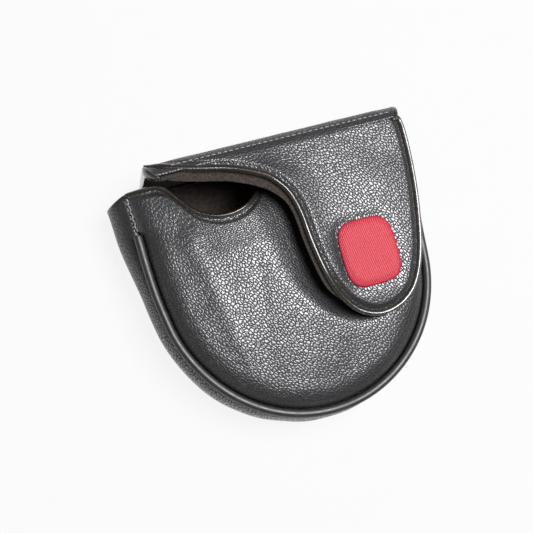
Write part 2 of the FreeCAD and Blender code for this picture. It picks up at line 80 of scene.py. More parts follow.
def unevenness(x, y, wave, seed):
    """Soft hand-made unevenness, about -1 to 1, with a wavelength in mm."""
    rng = np.random.default_rng(seed)
    total = 0
    for _ in range(7):
        turn, phase = rng.uniform(0, 2 * math.pi, 2)
        k = 2 * math.pi / wave * rng.uniform(0.6, 1.5)
        total = total + np.sin(k * (x * math.cos(turn) + y * math.sin(turn)) + phase)
    return total / 4


def mouth_edge(x):
    """Y of the front panel's mouth edge, with the notch for the putter's neck."""
    steep = math.radians(55)
    dx = np.abs(x - NOTCH_X)
    low_y = NOTCH_LOW + NOTCH_R
    foot_x, foot_y = NOTCH_R * math.sin(steep), low_y - NOTCH_R * math.cos(steep)
    head_y = MOUTH - LIP_R * (1 - math.cos(steep))
    head_x = foot_x + (head_y - foot_y) / math.tan(steep)
    lip_x = head_x + LIP_R * math.sin(steep)
    scoop = low_y - np.sqrt(np.maximum(NOTCH_R ** 2 - dx ** 2, 0))
    slope = foot_y + (dx - foot_x) * math.tan(steep)
    lip = MOUTH - LIP_R + np.sqrt(np.maximum(LIP_R ** 2 - (dx - lip_x) ** 2, 0))
    outside = np.where(dx < lip_x, lip, MOUTH)
    return np.where(dx < foot_x, scoop, np.where(dx < head_x, slope, outside))


def round_the_seam(u, r, end):
    """Plan x, y at u (0 mouth left, 1 mouth right) and radius r, sides running up to y = end."""
    run = (end + r * math.sin(FLARE)) / math.cos(FLARE)
    up_left = run * np.clip(1 - u / SIDE_SHARE, 0, 1)
    up_right = run * np.clip((u - 1 + SIDE_SHARE) / SIDE_SHARE, 0, 1)
    share = np.clip((u - SIDE_SHARE) / (1 - 2 * SIDE_SHARE), 0, 1)
    swing = np.pi + FLARE + (np.pi - 2 * FLARE) * share
    length = np.where(u < 0.5, up_left, up_right)
    sign = np.where(u < 0.5, -1.0, 1.0)
    x = r * np.cos(swing) + sign * length * math.sin(FLARE)
    y = r * np.sin(swing) + length * math.cos(FLARE)
    slump = SLUMP * np.exp(-((y - 8) / 33) ** 2) * smooth(-5, -45, x)
    pull = PULL * smooth(30, MOUTH, y) * smooth(10, 45, x)
    return x - slump - pull, y


def crown(x, y):
    """Height of the stuffed front face, with the slack of the leather."""
    hem = 5.5 + np.maximum(10 - y, 0) ** 2 / 72 - np.maximum(y - 30, 0) ** 2 / 30
    under = x - hem          # how far in under the flap
    dip = smooth(-12 - 0.2 * (y + 20), 2, under) * smooth(17, 2, under) * smooth(-29, -15, y)
    ridge = np.exp(-((x + 45.4 - 0.18 * (32.7 - y)) / 4.5) ** 2)
    ridge = ridge * smooth(38, 26, y) * smooth(-44, -24, y)
    crease = np.exp(-((x + 19.0 + 0.17 * (5.7 - y)) / 3.5) ** 2)
    crease = crease * smooth(14, 6, y) * smooth(-46, -30, y)
    dome = CROWN - (x ** 2 + (y - 10) ** 2) / 900
    slack = 0.25 * unevenness(x, y, 46, 3) + 0.10 * unevenness(x, y, 17, 5)
    return dome - DIP * dip + RIDGE * ridge - CREASE * crease + slack


def front_face(rows, columns, depth):
    """Grid of points over the front wall, some depth under its outer face."""
    u, t = lattice(rows, columns)
    rim_share = 0.4          # rows that go to the padded rim
    roll = np.clip(t / rim_share, 0, 1) * math.pi / 2
    side_y = round_the_seam(u, SEAM, MOUTH)[1]
    tuck = 2.3 + depth - 1.5 * smooth(CORD_END - 1, CORD_END + 3, side_y) * (depth < 1)
    r = SHOULDER - depth
    inset = tuck + r * (1 - np.cos(roll) ** 0.9)
    x, y = round_the_seam(u, SEAM - inset, MOUTH)
    flat_x, flat_y = round_the_seam(u, SEAM - tuck - r + r * (math.pi / 2 - roll), MOUTH)
    at_end = (u > SIDE_SHARE) & (u < 1 - SIDE_SHARE)
    centre_y = np.where(at_end, -(SEAM - SHOULDER) * math.sin(FLARE), y)
    inward = np.clip((t - rim_share) / (1 - rim_share), 0, 1)
    x, y = x * (1 - inward), y + (centre_y - y) * inward
    flat_x, flat_y = flat_x * (1 - inward), flat_y + (centre_y - flat_y) * inward
    start = 20.0             # from here on the grid follows the mouth's edge
    reach = (mouth_edge(x) - start) / (MOUTH - start)
    y = np.where(y > start, start + (y - start) * reach, y)
    pinch = 1.7 * smooth(5.0, 2.8, mouth_edge(x) - y) * (depth < 1)
    top = crown(x, y) - depth - pinch
    z = FRONT_LOW + (top - FRONT_LOW) * np.sin(roll) ** 0.85
    return np.stack([x, y, z, flat_x, flat_y], axis=-1)


def sheet(name, grid, wrap=False):
    """A mesh of quads over a grid of points in mm; columns 3 and 4, if any, lay the grain flat."""
    rows, columns = grid.shape[:2]
    flat = (grid[..., 3:5] if grid.shape[2] > 3 else grid[..., :2]).reshape(-1, 2) / 1000
    index = np.arange(rows * columns).reshape(rows, columns)
    nxt = np.roll(index, -1, axis=1) if wrap else index[:, 1:]
    here = index if wrap else index[:, :-1]
    quads = np.stack([here[:-1], nxt[:-1], nxt[1:], here[1:]], axis=-1).reshape(-1, 4)
    mesh = bpy.data.meshes.new(name)
    mesh.from_pydata((grid[..., :3].reshape(-1, 3) / 1000).tolist(), [], quads.tolist())
    mesh.uv_layers.new(name="grain").data.foreach_set("uv", flat[quads.reshape(-1)].reshape(-1))
    joined = bmesh.new()
    joined.from_mesh(mesh)
    bmesh.ops.remove_doubles(joined, verts=joined.verts, dist=4e-6)
    bmesh.ops.dissolve_degenerate(joined, edges=joined.edges, dist=4e-6)
    joined.to_mesh(mesh)
    joined.free()
    mesh.shade_smooth()
    piece = bpy.data.objects.new(name, mesh)
    bpy.context.scene.collection.objects.link(piece)
    return piece


def thicken(piece, mm, offset=-1.0):
    """Turns a sheet into a closed ply of that thickness."""
    ply = piece.modifiers.new("ply", "SOLIDIFY")
    ply.thickness, ply.offset = mm / 1000, offset
    return piece


def linear(code):
    """sRGB hex to a linear colour."""
    parts = [int(code[i:i + 2], 16) / 255 for i in (1, 3, 5)]
    return [c / 12.92 if c <= 0.04045 else ((c + 0.055) / 1.055) ** 2.4 for c in parts] + [1.0]


def put(nodes, kind, links=None, settings=None, **inputs):
    """Adds one shader node with its settings, its input values and its links."""
    node = nodes.nodes.new("ShaderNode" + kind)
    for key, value in (settings or {}).items():
        setattr(node, key, value)
    for key, value in inputs.items():
        node.inputs[key.replace("_", " ")].default_value = value
    for key, source in (links or {}).items():
        nodes.links.new(source, node.inputs[key])
    return node


def bare(name):
    """A new material with an empty node tree."""
    material = bpy.data.materials.new(name)
    material.use_nodes = True
    material.node_tree.nodes.clear()
    return material, material.node_tree


def per(mm):
    """The scale of a pattern whose grain is that many mm."""
    return 1000 / mm


def ramp(node, stops):
    """Sets a colour ramp's stops: (place, grey or colour)."""
    band = node.color_ramp
    while len(band.elements) < len(stops):
        band.elements.new(0.5)
    for element, (place, value) in zip(band.elements, stops):
        element.position = place
        element.color = value if isinstance(value, list) else [value, value, value, 1]
    return node


# Polyurethane leather, embossed with a drawn-out pebble and lacquered: near black, and every
# flat-topped pebble mirrors the light; the dull valleys between are darkened by painted shade.
PEBBLE = 1.35        # mm across a pebble
pebbled, tree = bare("pebbled_pu_leather")
place = put(tree, "TexCoord")
drift = put(tree, "TexNoise", {"Vector": place.outputs["Object"]}, Scale=per(2.381), Detail=2.0)
bent = put(tree, "MixRGB", {"Color1": place.outputs["UV"], "Color2": drift.outputs["Color"]},
           {"blend_type": "LINEAR_LIGHT"}, Fac=0.0008)
pull = put(tree, "Mapping", {"Vector": bent.outputs["Color"]}, {"vector_type": "TEXTURE"})
pull.inputs["Rotation"].default_value = (0, 0, math.radians(-56))
pull.inputs["Scale"].default_value = (1.3, 0.85, 1.0)
edges = put(tree, "TexVoronoi", {"Vector": pull.outputs["Vector"]},
            {"feature": "DISTANCE_TO_EDGE", "voronoi_dimensions": "2D"},
            Scale=per(PEBBLE), Randomness=0.85)
fine = put(tree, "TexNoise", {"Vector": place.outputs["Object"]}, Scale=per(0.6667), Detail=3.0)
valley = ramp(put(tree, "ValToRGB", {"Fac": edges.outputs["Distance"]}),
              [(0.0, 0.0), (0.12, 0.5), (0.28, 0.85), (0.5, 1.0)])
rough = put(tree, "Math", {0: fine.outputs["Fac"], 2: valley.outputs["Color"]},
            {"operation": "MULTIPLY_ADD"})
rough.inputs[1].default_value = 0.16
relief = put(tree, "Bump", {"Height": rough.outputs["Value"]}, Strength=1.0, Distance=0.00011)
# Painted shade: the base colour darkens from the pebble tops down into the valleys.
valley_shade = ramp(put(tree, "ValToRGB", {"Fac": valley.outputs["Color"]}),
            [(0.2, linear("#040404")), (0.9, linear("#1c1c1f"))])
dull = ramp(put(tree, "ValToRGB", {"Fac": valley.outputs["Color"]}), [(0.2, 0.8), (0.8, 0.33)])
lacquer = ramp(put(tree, "ValToRGB", {"Fac": valley.outputs["Color"]}), [(0.2, 0.0), (0.7, 1.0)])
skin = put(tree, "BsdfPrincipled", {"Base Color": valley_shade.outputs["Color"],
                                    "Roughness": dull.outputs["Color"],
                                    "Normal": relief.outputs["Normal"],
                                    "Coat Weight": lacquer.outputs["Color"],
                                    "Coat Normal": relief.outputs["Normal"]},
           Specular_IOR_Level=1.0, Coat_Roughness=0.27)
put(tree, "OutputMaterial", {"Surface": skin.outputs["BSDF"]})

front_leather = thicken(sheet("front_leather", front_face(84, 380, 0.0)), LEATHER)
front_leather.data.materials.append(pebbled)
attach(front_leather, "pouch")
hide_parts("front_panel", "front_foam")

# ---- Side band -----------------------------------------------------------------------
# The strip of the same padded leather that gives the pouch its depth.  It swells between
# its two seams, and the sewing draws small puckers into both edges.

SIDE_LOW, SIDE_HIGH = 4.9, 30.4       # heights of the two seams
SWELL, PUCKER = 5.2, 0.28             # how far it stands out, and its puckers at the seams
SIDE_RUN = 320.0     # length of the band round the pouch


def side_face(rows, columns, depth):
    """Grid of points over the side band, some depth under its outer face."""
    u, v = lattice(rows, columns)
    z = SIDE_LOW + (SIDE_HIGH - SIDE_LOW) * v
    across = np.clip(1 - (2 * v - 1) ** 2, 0, 1)
    end = MOUTH + 1.9 * (1 - v) - 4.5 * across * (u < 0.5)
    pucker = PUCKER * np.sin(u * 210 + 1.4 * np.sin(u * 37)) * (1 - across) ** 2 * across ** 0.4
    r = SEAM - 0.9 - depth + SWELL * across ** 0.62 + pucker
    x, y = round_the_seam(u, r, end)
    r = r + (1.2 + 3.4 * smooth(8, 42, y)) * across ** 0.7 * smooth(-20, -50, x)
    r = r + 0.45 * unevenness(x, z * 1.6, 30, 9) * across
    x, y = round_the_seam(u, r, end)
    return np.stack([x, y, z + 0 * x, SIDE_RUN * u, z + 0 * x], axis=-1)


side_leather = thicken(sheet("side_leather", side_face(30, 380, 0.0)), LEATHER)
side_leather.data.materials.append(pebbled)
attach(side_leather, "pouch")
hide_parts("gusset_panel", "gusset_foam")

# ---- Piping --------------------------------------------------------------------------
# Extruded vinyl cord, 4 mm thick and smooth, sewn into both seams by its flat tail.  Its
# ends are cut square a little below the mouth.

CORD_R = 2.0         # radius of the bead
FRONT_CORD, BACK_CORD = 32.7, 2.6     # heights of the two cords

# Vinyl run through a die: dark grey and evenly satin, with faint streaks in its shine.
vinyl, tree = bare("extruded_vinyl")
place = put(tree, "TexCoord")
streak = put(tree, "TexNoise", {"Vector": place.outputs["Object"]}, Scale=per(2.381), Detail=4.0)
satin = ramp(put(tree, "ValToRGB", {"Fac": streak.outputs["Fac"]}), [(0.3, 0.40), (0.75, 0.52)])
tint = ramp(put(tree, "ValToRGB", {"Fac": streak.outputs["Fac"]}),
            [(0.3, linear("#1f1f20")), (0.8, linear("#2b2b2d"))])
graze = put(tree, "Bump", {"Height": streak.outputs["Fac"]}, Strength=0.25, Distance=0.0002)
body = put(tree, "BsdfPrincipled", {"Base Color": tint.outputs["Color"],
                                    "Roughness": satin.outputs["Color"],
                                    "Normal": graze.outputs["Normal"]},
           IOR=1.53, Specular_IOR_Level=0.8)
put(tree, "OutputMaterial", {"Surface": body.outputs["BSDF"]})


def swept(name, line, across, up, ring):
    """A bar closed at both ends: a ring of points in mm, set round each point of the line."""
    rows = np.stack([line[i] + ring[:, :1] * across[i] + ring[:, 1:] * up[i]
                     for i in range(len(line))])
    piece = sheet(name, rows, wrap=True)
    n = len(ring)
    verts = [v.co[:] for v in piece.data.vertices]
    faces = [list(p.vertices) for p in piece.data.polygons]
    faces += [list(range(n)), list(range(len(verts) - 1, len(verts) - 1 - n, -1))]
    piece.data = bpy.data.meshes.new(name)
    piece.data.from_pydata(verts, [], faces)
    piece.data.shade_smooth()
    for cap in (len(faces) - 2, len(faces) - 1):
        piece.data.polygons[cap].use_smooth = False
    whole = bmesh.new()
    whole.from_mesh(piece.data)
    bmesh.ops.recalc_face_normals(whole, faces=whole.faces)
    whole.to_mesh(piece.data)
    whole.free()
    return piece


def oval(wide, tall, sides=20, power=2.0):
    """Points round a rounded bar's section: half width, half height."""
    a = np.linspace(0, 2 * math.pi, sides, endpoint=False)
    c, s = np.cos(a), np.sin(a)
    return np.stack([wide * np.sign(c) * np.abs(c) ** (2 / power),
                     tall * np.sign(s) * np.abs(s) ** (2 / power)], axis=-1)


for name, node, level in (("front_cord", "front_piping", FRONT_CORD),
                          ("back_cord", "back_piping", BACK_CORD)):
    u = np.linspace(0, 1, 420)
    x, y = round_the_seam(u, SEAM, CORD_END)
    wander = 0.12 * np.sin(u * 61) + 0.1 * np.sin(u * 23 + 1)
    line = np.stack([x, y, level + wander], axis=-1)
    out = np.stack(round_the_seam(u, SEAM + 1.0, CORD_END), axis=-1) - line[:, :2]
    out = np.concatenate([out / np.linalg.norm(out, axis=1)[:, None], 0 * x[:, None]], axis=1)
    cord = swept(name, line, out, np.tile([0.0, 0.0, 1.0], (len(u), 1)), oval(CORD_R, CORD_R))
    cord.data.materials.append(vinyl)
    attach(cord, "pouch")
    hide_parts(node)

# ---- Plush lining of the pouch ---------------------------------------------------------
# Knitted plush, black with a brown cast, glued to the back of the foam.  It shows in the
# notch and at the mouth.

WALL, PILE = 4.8, 1.6    # thickness of all three plies together, and of the plush alone

# Cut polyester pile: no shine, brown-grey on the tips of its tufts, and black between them with
# painted shade.  It shows in the notch and at the mouth.
plush, tree = bare("knitted_plush")
place = put(tree, "TexCoord")
tuft = put(tree, "TexNoise", {"Vector": place.outputs["Object"]}, Scale=per(0.909), Detail=5.0,
           Roughness=0.7)
lay = put(tree, "TexNoise", {"Vector": place.outputs["Object"]}, Scale=per(5.882), Detail=3.0)
both = put(tree, "Math", {0: tuft.outputs["Fac"], 1: lay.outputs["Fac"]}, {"operation": "ADD"})
# Painted shade: the colour follows the tufts' height, black in the hollows between them.
pile = ramp(put(tree, "ValToRGB", {"Fac": tuft.outputs["Fac"]}),
            [(0.32, linear("#171310")), (0.72, linear("#574c44"))])
nap = put(tree, "Bump", {"Height": both.outputs["Value"]}, Strength=1.0, Distance=0.0012)
cloth = put(tree, "BsdfPrincipled", {"Base Color": pile.outputs["Color"],
                                     "Normal": nap.outputs["Normal"]},
            Roughness=0.95, Sheen_Weight=0.35, Sheen_Roughness=0.4)
put(tree, "OutputMaterial", {"Surface": cloth.outputs["BSDF"]})

front_plush = thicken(sheet("front_plush", front_face(36, 160, WALL - PILE)), PILE)
side_plush = thicken(sheet("side_plush", side_face(14, 160, WALL - PILE)), PILE)
for piece, node in ((front_plush, "front_lining"), (side_plush, "gusset_lining")):
    piece.data.materials.append(plush)
    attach(piece, "pouch")
    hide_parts(node)

# ---- Back panel and back fold ----------------------------------------------------------
# The flat back that the cover lies on, of the same leather, its edge turned up to the back
# seam.  At the straight edge it runs on round the corner as a soft fold into the spine band.

BACK_END, BACK_RIM = 61.5, 4.0        # Y of the straight edge, and radius of the turned-up rim


def back_face(rows, columns, depth):
    """Grid of points over the back, some depth above the face it lies on."""
    u, t = lattice(rows, columns)
    rim_share = 0.3          # rows that go to the turned-up rim
    roll = np.clip(t / rim_share, 0, 1) * math.pi / 2
    r = BACK_RIM - depth
    inset = 2.2 + depth + r * (1 - np.cos(roll))
    x, y = round_the_seam(u, SEAM - inset, BACK_END)
    at_end = (u > SIDE_SHARE) & (u < 1 - SIDE_SHARE)
    centre_y = np.where(at_end, -SEAM * math.sin(FLARE), y)
    inward = np.clip((t - rim_share) / (1 - rim_share), 0, 1)
    x, y = x * (1 - inward), y + (centre_y - y) * inward
    soft = 0.25 * (1 + unevenness(x, y, 60, 2)) * inward * (1 - inward)
    return np.stack([x, y, depth + r * (1 - np.sin(roll)) + soft], axis=-1)


back_leather = thicken(sheet("back_leather", back_face(40, 240, 0.0)[:, ::-1]), LEATHER)
back_leather.data.materials.append(pebbled)
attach(back_leather, "pouch")
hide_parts("back_panel", "back_foam")

back_grid = back_face(20, 120, WALL - PILE)[:, ::-1] + [0, -1.2, 0]
back_plush = thicken(sheet("back_plush", back_grid), PILE)
back_plush.data.materials.append(plush)
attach(back_plush, "pouch")
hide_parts("back_lining")

FOLD, FOLD_R, FOLD_TOP = 66.5, 8.5, 46.18     # the band's outer Y, its top's radius and height
BAND_LEFT, BAND_RIGHT = -57.5, 65.0

s = np.linspace(0, 1, 26)
flat, bend, rise = 5.0, 2.2, 5.0
path = s * (flat + bend * math.pi / 2 + rise)
angle = np.clip((path - flat) / bend, 0, math.pi / 2)
fold_y = BACK_END - 0.3 + np.minimum(path, flat) + bend * np.sin(angle)
fold_y = fold_y * (FOLD - 0.1) / fold_y.max()
fold_z = 0.02 + bend * (1 - np.cos(angle)) + np.maximum(path - flat - bend * math.pi / 2, 0)
left = BAND_LEFT + 1.0 - 8.0 * (1 - smooth(0.02, 0.5, s))
right = BAND_RIGHT - 0.5 * (1 - smooth(0.02, 0.5, s))
c = np.linspace(0, 1, 110)[None, :]
across = left[:, None] + (right - left)[:, None] * c
grid = np.stack([across, fold_y[:, None] + 0 * c, fold_z[:, None] + 0 * c,
                 across, path[:, None] + 0 * c], axis=-1)
back_fold = thicken(sheet("back_fold", grid[:, ::-1]), LEATHER)
back_fold.data.materials.append(pebbled)
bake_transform(back_fold)

# ---- Tape on the pouch's mouth -----------------------------------------------------------
# Smooth leather tape folded over the raw edges of the three plies and sewn down: a rounded
# rim with a narrow lap on the face.

LAP = 3.6            # width of the folded tape

# Plain polyurethane leather, rolled smooth: dark brown, finely creased, with a sharp glint.
tape, tree = bare("smooth_pu_tape")
place = put(tree, "TexCoord")
crease = put(tree, "TexNoise", {"Vector": place.outputs["Object"]}, Scale=per(1.4286), Detail=5.0)
worn = put(tree, "TexNoise", {"Vector": place.outputs["Object"]}, Scale=per(16.667), Detail=2.0)
shade = ramp(put(tree, "ValToRGB", {"Fac": worn.outputs["Fac"]}),
             [(0.3, linear("#16120e")), (0.7, linear("#2a231b"))])
gloss = ramp(put(tree, "ValToRGB", {"Fac": crease.outputs["Fac"]}), [(0.35, 0.22), (0.7, 0.36)])
wrinkle = put(tree, "Bump", {"Height": crease.outputs["Fac"]}, Strength=0.5, Distance=0.0003)
strip = put(tree, "BsdfPrincipled", {"Base Color": shade.outputs["Color"],
                                     "Roughness": gloss.outputs["Color"],
                                     "Normal": wrinkle.outputs["Normal"]},
            Specular_IOR_Level=0.9, Coat_Weight=0.9, Coat_Roughness=0.17)
put(tree, "OutputMaterial", {"Surface": strip.outputs["BSDF"]})


def unit(v):
    """Vectors scaled to length 1."""
    return v / np.maximum(np.linalg.norm(v, axis=-1, keepdims=True), 1e-9)


def tape_over(name, outer, inner, inward, wide, proud, fall=0.25, power=2.9, taper=0):
    """Tape round an edge that lies between two lines of points; inward points into the ply.

    It stands proud of both faces; fall thins its lap, and taper its first and last points."""
    middle = (outer + inner) / 2
    up = outer - inner
    half = np.linalg.norm(up, axis=1) / 2 + proud
    up = unit(up)
    across = unit(inward - up * (inward * up).sum(axis=1)[:, None])
    ring = oval(1.0, 1.0, 32, power)
    ring[:, 1] *= 1 - fall * np.maximum(ring[:, 0] + 0.35, 0)
    line = middle + across * (wide / 2 - 0.6)
    if taper:
        steps = np.arange(len(line))
        thin = 0.3 + 0.7 * smooth(0, taper, np.minimum(steps, steps[::-1]))
        across, half = across * thin[:, None], half * thin
    return swept(name, line, across * wide / 2, up * half[:, None], ring)


def spaced(line, count):
    """The same line with evenly spaced points, as sample places for np.interp."""
    run = np.concatenate([[0], np.cumsum(np.linalg.norm(np.diff(line, axis=0), axis=1))])
    return np.interp(np.linspace(0, run[-1], count), run, np.arange(len(line)))


def at(line, places):
    """The points of a line at those sample places."""
    steps = np.arange(len(line))
    return np.stack([np.interp(places, steps, line[:, k]) for k in range(3)], axis=-1)


rims = []
for depth in (0.6, WALL):
    grid = front_face(90, 401, depth)[..., :3]
    rims.append(np.concatenate([grid[:, 0], grid[::-1, -1][1:]]))
places = spaced(rims[0], 260)
outer, inner = (at(rim, places) for rim in rims)
slope = np.gradient(outer, axis=0)
inward = np.stack([slope[:, 1], -np.abs(slope[:, 0]) - 0.3 * np.abs(slope[:, 2]),
                   0 * slope[:, 0]], axis=-1)
mouth_tape = tape_over("mouth_tape", outer, inner, inward, LAP, 2.0, fall=0.5)
mouth_tape.data.materials.append(tape)
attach(mouth_tape, "pouch")
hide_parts("mouth_binding")

skin_grid, lining_grid = (side_face(60, 401, depth)[..., :3] for depth in (0.5, WALL))
for name, node, column in (("side_tape_left", "gusset_binding_left", 0),
                           ("side_tape_right", "gusset_binding_right", -1)):
    outer, inner = skin_grid[:, column], lining_grid[:, column]
    inward = np.tile([0.0, -1.0, 0.0], (len(outer), 1))
    side_tape = tape_over(name, outer, inner, inward, LAP, 0.9)
    side_tape.data.materials.append(tape)
    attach(side_tape, "pouch")
    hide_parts(node)

# ---- Spine band ---------------------------------------------------------------------------
# The padded strip that stands across the mouth and turns over at the top, where the flap is
# sewn to it.  Leather outside, plush inside, its two ends bound with tape.

SPINE_RUN = 54.0     # length of the band from its foot over the fold
ROUND_LEFT, ROUND_RIGHT = 7.0, 5.0    # how far its upper corners are rounded off


def spine_path(s, depth, foot):
    """Y and Z at s (0 foot, 1 where the band meets the flap), some depth under the outer face."""
    centre_y, centre_z, r = FOLD - FOLD_R, FOLD_TOP - FOLD_R, FOLD_R - depth
    straight = centre_z - foot
    run = s * (straight + FOLD_R * math.pi / 2)
    swing = np.clip((run - straight) / FOLD_R, 0, math.pi / 2)
    z = np.where(run < straight, foot + run, centre_z + r * np.sin(swing))
    return centre_y + r * np.cos(swing), z


def spine_face(rows, columns, depth, foot, top=1.0, puff=0.0):
    """Grid over the band, from its foot up to top; puff swells its middle outwards."""
    c, down = lattice(rows, columns)
    s = top * down
    y, z = spine_path(s, depth, foot)
    corner = 1 - np.sqrt(np.clip(1 - np.clip((s - 0.8) / 0.2, 0, 1) ** 2, 0, 1))
    left, right = BAND_LEFT + 0.7 + ROUND_LEFT * corner, BAND_RIGHT - 0.7 - ROUND_RIGHT * corner
    x = left + (right - left) * c
    across = np.clip(1 - (2 * c - 1) ** 6, 0, 1)
    y = y + puff * across * np.sin(np.pi * np.clip(s / 0.9, 0, 1))
    y = y + 0.25 * unevenness(x, z, 34, 4) * across
    return np.stack([x, y, z, x, SPINE_RUN * s], axis=-1)


spine_skin = spine_face(60, 150, 0.0, 6.0, top=0.955, puff=0.5)[:, ::-1]
spine_leather = thicken(sheet("spine_leather", spine_skin), LEATHER)
spine_leather.data.materials.append(pebbled)
spine_plush = thicken(sheet("spine_plush", spine_face(60, 150, WALL, 1.4, puff=-2.2)), PILE)
spine_plush.data.materials.append(plush)
for piece, nodes, finish in ((spine_leather, ("band_panel", "band_foam"), "pebbled_leather"),
                             (spine_plush, ("band_lining",), "plush")):
    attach(piece, "band")
    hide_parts(*nodes)

outer_grid, inner_grid = (spine_face(90, 9, depth, 1.6, top=0.985)[..., :3]
                          for depth in (0.4, WALL - 0.2))
for name, node, column, side in (("spine_tape_left", "band_binding_left", 0, 1.0),
                                 ("spine_tape_right", "band_binding_right", -1, -1.0)):
    inward = np.tile([side, 0.0, 0.0], (90, 1))
    spine_tape = tape_over(name, outer_grid[:, column], inner_grid[:, column], inward,
                           3.4, 0.7, fall=0.0, power=2.1)
    spine_tape.data.materials.append(tape)
    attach(spine_tape, "band")
    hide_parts(node)

# ---- Flap -----------------------------------------------------------------------------------
# The cover's lid: one padded panel with a tongue, sewn to the spine along the fold and swept
# round the notch.  Its free edge is bound, and on the notch side it has taken a curl upwards.

ARCH, ARCH_R = 49.0, 457.0   # height of the flap at its middle, and how it bows lengthways
SEW_Y = 63.3         # Y at which the flap's plush is sewn to the band
LIFT = 2.6           # how far the notch side has curled up
CREST = 1.5          # from the raw edge to the crest of its tape
PATCH_X, PATCH_Y, PATCH_W, PATCH_H = 30.7, 3.3, 13.5, 15.4   # middle and half sizes
SQUARENESS = 3.6     # 2 is an ellipse; more is squarer
# The tongue's pattern, round the crest of the tape from the band's left end to its right.
PATTERN = [(-56.5, 67.0), (-50.5, 64.4), (-36.5, 59.9), (-20, 55.8), (-7.6, 50.0), (-2.0, 45.4),
           (2.8, 38.2), (5.2, 28), (5.8, 18), (6.8, 9), (8.6, -1), (12, -10.5), (18.5, -19.6),
           (26, -23.9), (33, -24.4), (40.3, -22.2), (46.4, -17.6), (50.8, -10.8), (54.2, -2.5),
           (57, 7), (60.8, 24), (63.2, 42), (63.8, 54), (63.3, 59.5), (61.4, 63.4), (58.2, 65.8)]


def flap_outline():
    """The free edge, from the spine at the left round the tongue to the spine at the right."""
    knots = np.array(PATTERN, float)
    ends = np.concatenate([[2 * knots[0] - knots[1]], knots, [2 * knots[-1] - knots[-2]]])
    t = np.linspace(0, 1, 40, endpoint=False)[:, None]
    line = []
    for i in range(1, len(ends) - 2):
        a, b, c, d = ends[i - 1:i + 3]
        line.append(0.5 * (2 * b + (c - a) * t + (2 * a - 5 * b + 4 * c - d) * t ** 2
                           + (3 * b - a - 3 * c + d) * t ** 3))
    line = np.concatenate(line)
    for _ in range(120):     # takes out what is left of the knots
        line[1:-1] = (line[:-2] + 2 * line[1:-1] + line[2:]) / 4
    run = np.concatenate([[0], np.cumsum(np.linalg.norm(np.diff(line, axis=0), axis=1))])
    even = np.linspace(0, run[-1], 700)
    line = np.stack([np.interp(even, run, line[:, k]) for k in (0, 1)], axis=-1)
    slope = np.gradient(line, axis=0)
    return line + CREST * unit(np.stack([slope[:, 1], -slope[:, 0]], axis=-1))


EDGE = flap_outline()
TIP = int(np.argmin(EDGE[:, 1]))
TURN_Y, TURN_R = FOLD - FOLD_R, FOLD_R + 0.6     # where the flap turns over the band's top


def edge_distance(x, y, line=EDGE):
    """How far each point lies from a line of points."""
    near = np.full(x.shape, 1e9)
    for px, py in line[::2]:
        near = np.minimum(near, (x - px) ** 2 + (y - py) ** 2)
    return np.sqrt(near)


def flap_top(x, y):
    """Height of the flap's outer face before its edges are pinched."""
    z = ARCH - ARCH_R + np.sqrt(ARCH_R ** 2 - (np.minimum(y, TURN_Y) - 10) ** 2)
    over = np.clip((y - TURN_Y) / TURN_R, 0, 0.985)
    z = z - TURN_R * (1 - np.sqrt(1 - over ** 2))
    droop = np.clip((x - 16) / 47, 0, 1) ** 2 * (1 - 0.5 * smooth(40, 63, y))
    z = z - 2.6 * droop * smooth(66, 60, y) - 0.9 * smooth(0, -24, y)
    notch_side = EDGE[:TIP]
    near = edge_distance(x, y, notch_side[(notch_side[:, 1] < 57)])
    curl = LIFT * np.exp(-(near / 10) ** 2) * smooth(-24, 4, y) * (1 - smooth(44, 61, y))
    badge = (np.abs(x - PATCH_X) / PATCH_W) ** SQUARENESS
    badge = (badge + (np.abs(y - PATCH_Y) / PATCH_H) ** SQUARENESS) ** (1 / SQUARENESS)
    seam = np.exp(-((badge - 1) / 0.16) ** 2)
    drawn_in = 0.7 * seam + 0.5 * (badge < 1) * (1 - seam)
    return z + curl - drawn_in + 0.22 * unevenness(x, y, 33, 8) * smooth(63, 55, y)


def flap_face(rows, columns, inset, under):
    """Grid over the flap, its edge drawn in by some mm; under gives the lower face."""
    high = SEW_Y if under else FOLD - 0.25
    slope = np.gradient(EDGE, axis=0)
    moved = EDGE + inset * unit(np.stack([-slope[:, 1], slope[:, 0]], axis=-1))
    tip = int(np.argmin(moved[:, 1]))
    low = moved[tip, 1] + 0.04
    y = low + (high - low) * (1 - np.cos(np.linspace(0, 1, rows) * math.pi / 2))
    if not under:
        turn = np.sin(np.linspace(0.02, 1, 22) * math.pi / 2)
        y = np.concatenate([y[y < TURN_Y], TURN_Y + (FOLD_R - 0.2) * turn])
    x0 = np.interp(y, moved[:tip + 1][::-1, 1], moved[:tip + 1][::-1, 0])
    x1 = np.interp(y, moved[tip:, 1], moved[tip:, 0])
    if not under:
        bend = np.clip((y - 61) / (high - 61), 0, 1)
        x0 = np.maximum(x0, BAND_LEFT + 3.5 + 4.5 * (1 - np.sqrt(1 - bend ** 2)))
    c = (1 - np.cos(np.linspace(0, 1, columns) * math.pi)) / 2
    x = x0[:, None] + (x1 - x0)[:, None] * c[None, :]
    y = y[:, None] + 0 * x
    d = edge_distance(x, y)
    top = flap_top(x, y)
    if under:
        return np.stack([x, y, top - WALL + 0.9 * np.exp(-d / 5.0)], axis=-1)
    pinch = 1.25 * smooth(5.6, 2.6, d)
    over = TURN_R * np.arcsin(np.clip((y - TURN_Y) / TURN_R, 0, 1))
    laid = np.where(y < TURN_Y, y, TURN_Y + over)
    return np.stack([x, y, top - pinch, x, laid], axis=-1)


flap_leather = thicken(sheet("flap_leather", flap_face(150, 120, 1.2, False)), LEATHER)
flap_leather.data.materials.append(pebbled)
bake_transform(flap_leather)
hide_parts("flap_panel", "flap_foam")

